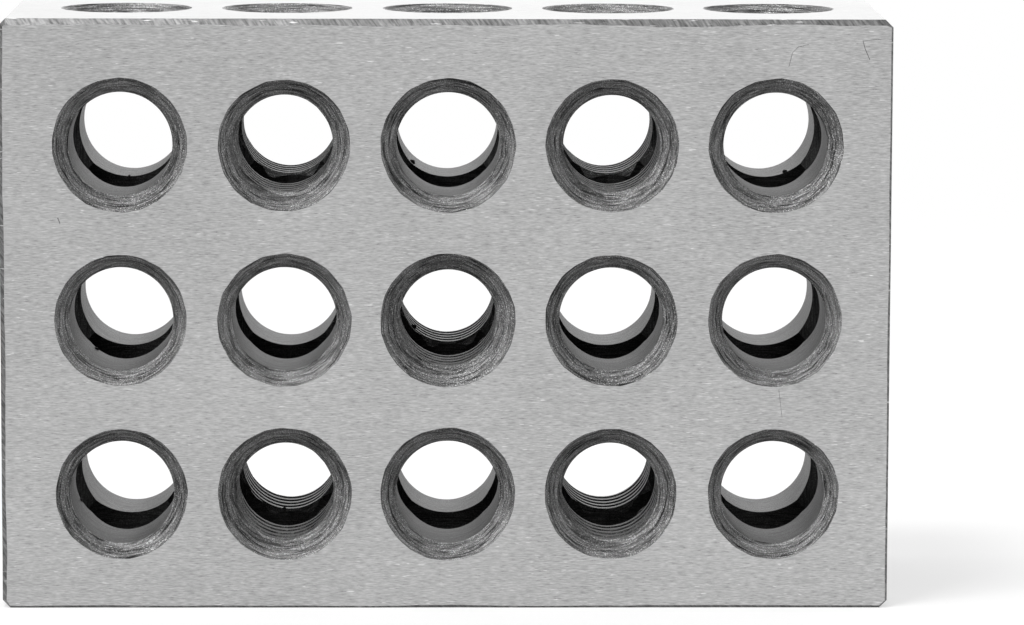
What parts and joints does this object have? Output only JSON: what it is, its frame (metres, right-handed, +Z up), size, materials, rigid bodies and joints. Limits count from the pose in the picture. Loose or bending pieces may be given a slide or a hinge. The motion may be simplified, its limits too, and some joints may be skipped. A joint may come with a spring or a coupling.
{
  "type": "machinist setup block",
  "caption": "Ground steel setup block in one-two-three inch proportions, with crossing countersunk holes, plain and tapped, through every pair of faces.",
  "frame": {"origin": "middle of the underside, as it stands on a long narrow face", "axes": "+X along the 3 inch length, +Y through the 1 inch thickness and away from the viewer, +Z up along the 2 inch height"},
  "size_m": [0.0762, 0.0254, 0.0508],
  "materials": {
    "ground_steel": "surface ground, with darker machined bores and countersinks"
  },
  "bodies": {
    "root": {"setup_block": "ground_steel"}
  },
  "joints": []
}
